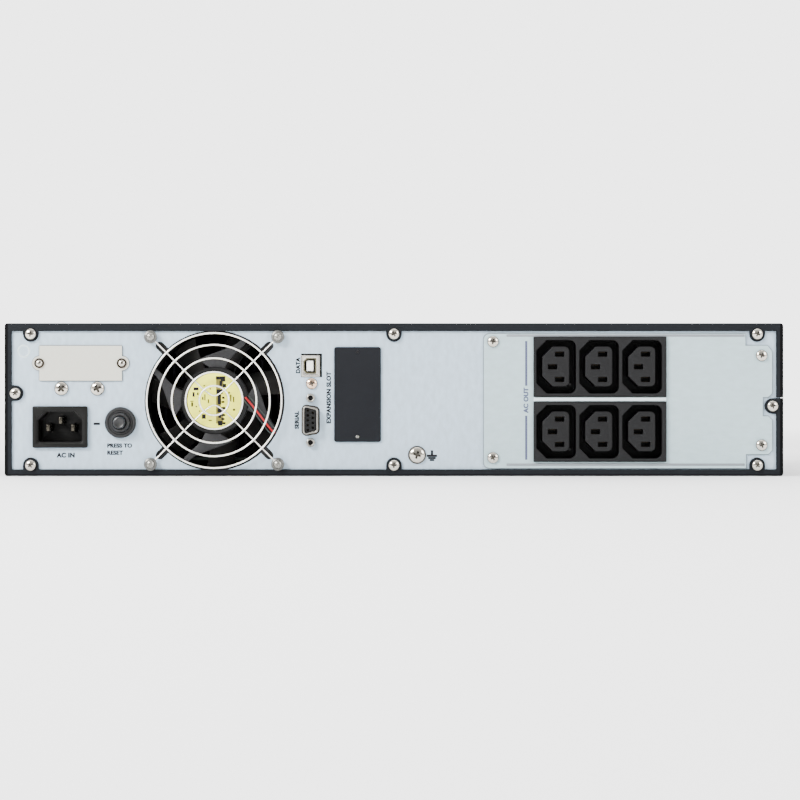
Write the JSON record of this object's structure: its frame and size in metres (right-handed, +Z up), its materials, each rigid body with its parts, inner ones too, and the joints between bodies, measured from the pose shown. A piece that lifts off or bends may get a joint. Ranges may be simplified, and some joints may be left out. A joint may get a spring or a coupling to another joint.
{
  "type": "rackmount ups",
  "caption": "Two-unit rack-mount power supply with mains inlet, socket blocks, guarded fan, signal ports and a front battery drawer.",
  "frame": {"origin": "centre of the outer box's base", "axes": "+Z up, +Y out of the rear panel, +X to the left of someone facing the rear panel"},
  "size_m": [0.438, 0.436, 0.086],
  "materials": {
    "dark_steel": "satin dark grey paint",
    "galvanised_steel": "fine-grained zinc",
    "screw_steel": "bright plated",
    "slot_cover_paint": "satin dark paint",
    "beige_paint": "matt warm white paint",
    "black_plastic": "moulded, satin",
    "grey_plastic": "moulded, satin",
    "rotor_plastic": "moulded, satin",
    "guard_wire": "bright nickel wire",
    "plated_brass": "nickel plated",
    "port_metal": "tin plated",
    "white_plastic": "moulded",
    "lead_red": "insulated wire",
    "circuit_board": "solder mask",
    "heatsink_aluminium": "extruded",
    "winding": "lacquered",
    "capacitor_sleeve": "shrink sleeve",
    "bezel_plastic": "fine spark texture",
    "button_plastic": "satin",
    "window": "smoked acrylic",
    "connector_plastic": "moulded",
    "battery_case": "moulded"
  },
  "bodies": {
    "chassis": {"lower_shell": "dark_steel", "upper_shell": "dark_steel", "cover_screw_1": "screw_steel", "cover_screw_2": "screw_steel", "cover_screw_3": "screw_steel", "cover_screw_4": "screw_steel", "cover_screw_5": "screw_steel", "cover_screw_6": "screw_steel", "cover_screw_7": "screw_steel", "cover_screw_8": "screw_steel", "rear_panel": "galvanised_steel", "outlet_plate": "galvanised_steel", "option_slot_cover": "slot_cover_paint", "blanking_plate": "beige_paint", "inlet_housing": "black_plastic", "inlet_pin_line": "plated_brass", "inlet_pin_neutral": "plated_brass", "inlet_pin_earth": "plated_brass", "outlet_block_upper": "grey_plastic", "outlet_block_lower": "grey_plastic", "breaker_body": "black_plastic", "breaker_nut": "black_plastic", "fan_frame": "black_plastic", "fan_guard": "guard_wire", "fan_lead": "lead_red", "fan_screw_1": "screw_steel", "fan_screw_2": "screw_steel", "fan_screw_3": "screw_steel", "fan_screw_4": "screw_steel", "usb_shell": "port_metal", "usb_tongue": "white_plastic", "serial_shell": "port_metal", "serial_insert": "black_plastic", "earth_screw": "screw_steel", "power_board": "circuit_board", "heatsink_1": "heatsink_aluminium", "heatsink_2": "heatsink_aluminium", "transformer": "winding", "capacitor_1": "capacitor_sleeve", "capacitor_2": "capacitor_sleeve", "control_board": "circuit_board", "comms_board": "circuit_board", "front_bulkhead": "galvanised_steel", "front_bezel": "bezel_plastic", "display_window": "window", "display_board": "circuit_board", "drawer_guide_left": "galvanised_steel", "drawer_guide_right": "galvanised_steel"},
    "fan_rotor": {"fan_rotor": "rotor_plastic"},
    "breaker_button": {"breaker_button": "black_plastic"},
    "push_button_1": {"push_button_1": "button_plastic"},
    "push_button_2": {"push_button_2": "button_plastic"},
    "push_button_3": {"push_button_3": "button_plastic"},
    "battery_drawer": {"battery_drawer": "galvanised_steel", "battery_connector": "connector_plastic", "battery_1": "battery_case", "battery_2": "battery_case", "battery_3": "battery_case"},
    "drawer_fascia": {"drawer_fascia": "bezel_plastic"}
  },
  "joints": [
    {"name": "fan_spin", "type": "hinge", "parent": "chassis", "child": "fan_rotor", "pos_m": [0.101, 0.193, 0.0425], "axis": [0, 1, 0], "continuous": true},
    {"name": "breaker_reset", "type": "slide", "parent": "chassis", "child": "breaker_button", "axis": [0, 1, 0], "range_m": [0, 0.0045]},
    {"name": "button_1_press", "type": "slide", "parent": "chassis", "child": "push_button_1", "axis": [0, 1, 0], "range_m": [0, 0.0015], "stiffness_N_per_m": 900, "springref_m": -0.0004},
    {"name": "button_2_press", "type": "slide", "parent": "chassis", "child": "push_button_2", "axis": [0, 1, 0], "range_m": [0, 0.0015], "stiffness_N_per_m": 900, "springref_m": -0.0004},
    {"name": "button_3_press", "type": "slide", "parent": "chassis", "child": "push_button_3", "axis": [0, 1, 0], "range_m": [0, 0.0015], "stiffness_N_per_m": 900, "springref_m": -0.0004},
    {"name": "drawer_slide", "type": "slide", "parent": "chassis", "child": "battery_drawer", "axis": [0, -1, 0], "range_m": [0, 0.3]},
    {"name": "fascia_pull", "type": "slide", "parent": "battery_drawer", "child": "drawer_fascia", "axis": [0, -1, 0], "range_m": [0, 0.06]}
  ]
}
